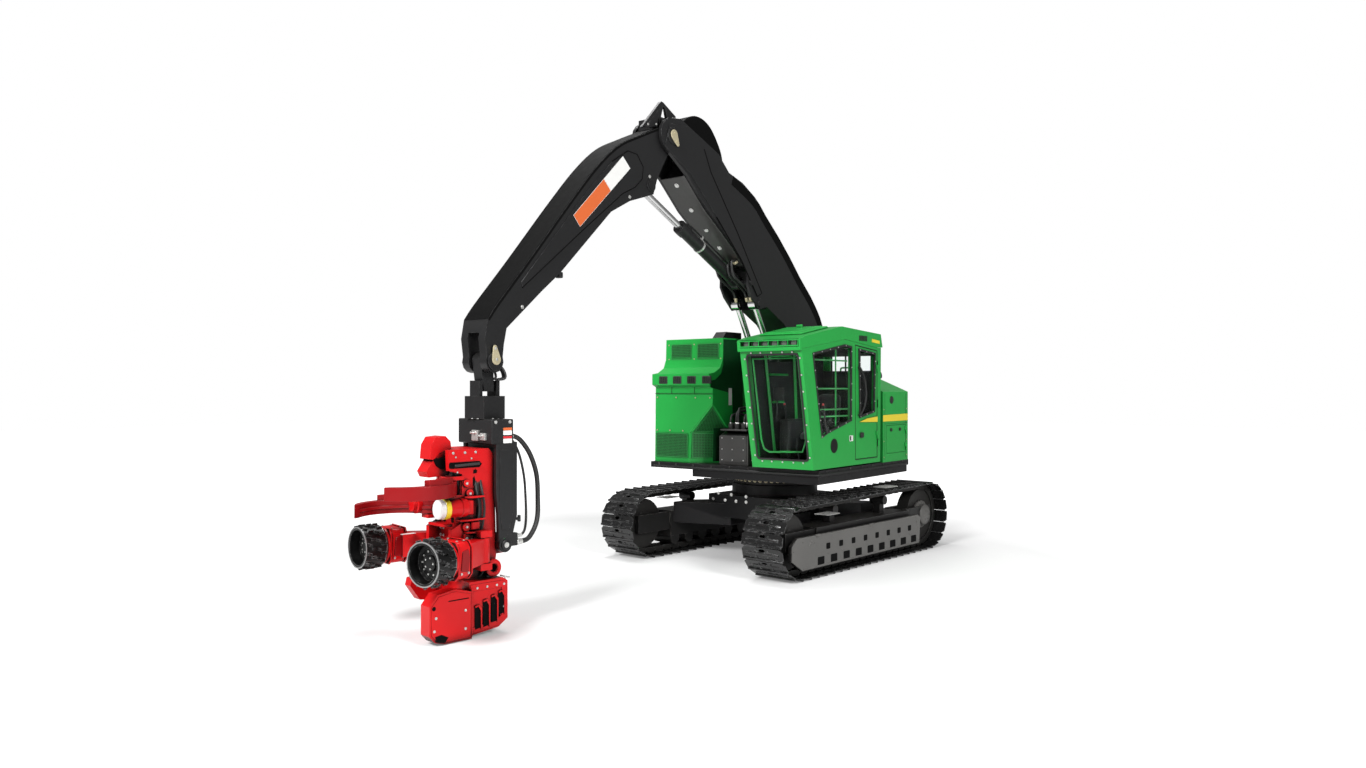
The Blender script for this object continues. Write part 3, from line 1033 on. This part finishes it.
def build_feed(tilt):
    """Feed arms with their motors, and the barred drums that run on them."""
    turns = [math.tau * (i + share) / DRUM_BARS for i in range(DRUM_BARS) for share, _ in BAR_SHARES]
    radii = [DRUM_CORE + (DRUM_RADIUS - DRUM_CORE) * lift for _ in range(DRUM_BARS) for _,
             lift in BAR_SHARES]
    drum_points = [(radius * math.cos(turn), radius * math.sin(turn)) for radius, turn in zip(radii, turns)]
    for side, sign, (x, y), toe in DRUMS:
        arm_body = Body(f"feed_arm_{side}_hinge", (sign * FEED_PIN_X, FEED_PIN_Y, sum(FEED_Z) / 2), tilt)
        plan = within((0.0, CLAW_LOW[1]), (FEED_REACH, 0.0), FEED_ARM_SHARES)
        hub = arc((FEED_PIN_X, FEED_PIN_Y), FEED_HUB, -20, 200, 6)
        arm = outline(f"feed_arm_{side}", arm_body, mirrored([*hub, *plan], sign), *FEED_Z, "plan", "red")
        spin = Body(f"roller_{side}_spin", (x, y, DRUM_Z), arm_body, math.radians(toe), new_frame=True)

        def bar(label, radius, start, end, sides=20):
            return cylinder(f"{label}_{side}", spin, (0, (start + end) / 2, 0), radius, abs(end - start),
                            "Y", sides, cutter=True)

        weld(arm, bar("feed_motor", MOTOR_RADIUS, MOTOR_BACK, MOTOR_FRONT),
             bar("feed_shaft", SHAFT_RADIUS, MOTOR_FRONT + OVERRUN, -DRUM_WEB[0], PIN_SIDES))
        cut(arm, bore(f"feed_bore_{side}", arm_body, (sign * FEED_PIN_X, FEED_PIN_Y, sum(FEED_Z) / 2),
                      FEED_PIN, 4 * (FEED_Z[1] - FEED_Z[0]), "Z"))
        drum = outline(f"feed_roller_{side}", spin, drum_points, -DRUM_LENGTH, 0, "front")
        cut(drum, bar("drum_cup", DRUM_CUP, -DRUM_LENGTH - OVERRUN, -DRUM_WEB[0]),
            bar("drum_back", DRUM_BACK_CUP, -DRUM_WEB[1], OVERRUN))
        weld(drum, bar("drum_hub", DRUM_HUB, -DRUM_WEB[0] - DRUM_HUB_HEIGHT, -DRUM_WEB[1] - GAP, 16))
        cut(drum, bore(f"drum_bore_{side}", spin, (0, -DRUM_WEB[1], 0), SHAFT_RADIUS,
                       2 * (DRUM_WEB[0] - DRUM_WEB[1]) + PIN_END, "Y"))


def build_saw(tilt):
    """Saw box under the head with its slot and pockets, and the bar that swings out of it."""
    def side(shares):
        return within(HEAD_LOW, HEAD_HIGH, shares)

    box = outline("saw_box", tilt, side(SAW_REAR_SHARES), *SAW_REAR_X, colour="red")
    weld(box, outline("saw_panel", tilt, side(SAW_PANEL_SHARES), *SAW_PANEL_X, cutter=True),
         outline("saw_nose", tilt, side(SAW_NOSE_SHARES), *SAW_NOSE_X, cutter=True))
    cut(box, block("bar_slot", tilt, SAW_SLOT_LOW, SAW_SLOT_HIGH, cutter=True))
    for i, (y, low, high) in enumerate(SAW_POCKETS):
        cut(box, block(f"saw_pocket_{i}", tilt, (SAW_REAR_X[1] - POCKET_DEPTH, y - POCKET_HALF, low),
                       (SAW_REAR_X[1] + OVERRUN, y + POCKET_HALF, high), cutter=True))
    middle = (BAR_PIN_X, BAR_PIN_Y, sum(BAR_Z) / 2)
    weld(box, pin("bar_pin", tilt, middle, BAR_PIN, SAW_SLOT_HIGH[2] - SAW_SLOT_LOW[2] + PIN_END, "Z"))
    body = Body("saw_hinge", middle, tilt)
    shape = [*arc((BAR_PIN_X, BAR_PIN_Y), BAR_HALF, 0, 180, 6), (BAR_PIN_X - BAR_HALF, BAR_TIP + BAR_NOSE),
             (BAR_PIN_X, BAR_TIP), (BAR_PIN_X + BAR_HALF, BAR_TIP + BAR_NOSE)]
    bar = outline("saw_bar", body, shape, *BAR_Z, "plan", "iron")
    cut(bar, bore("bar_bore", body, middle, BAR_PIN, 4 * PLATE, "Z"))


def build_head(stick_body):
    """Everything that hangs from the stick's link pin."""
    turn, top = build_link(stick_body)
    build_tilt_frame(turn, top)
    tilt = Body("tilt_hinge", (0, *TILT_PIN), turn)
    build_head_frame(tilt)
    build_knives(tilt)
    build_feed(tilt)
    build_saw(tilt)


build_carbody()
for track_side, track_sign in (("left", 1), ("right", -1)):
    build_track(track_side, track_sign)
build_deck()
build_right_side()
build_left_side()
build_cab()
boom_hinge = build_boom()
for ram_name, ram_foot, ram_eye, ram_x, ram_parent in (
        ("boom_left", BOOM_CYL_FOOT, BOOM_CYL_EYE, BOOM_CYL_X, upper),
        ("boom_right", BOOM_CYL_FOOT, BOOM_CYL_EYE, -BOOM_CYL_X, upper),
        ("stick", STICK_CYL_FOOT, STICK_CYL_EYE, 0, boom_hinge)):
    build_ram(ram_name, ram_foot, ram_eye, ram_x, ram_parent)
build_head(build_stick(boom_hinge))
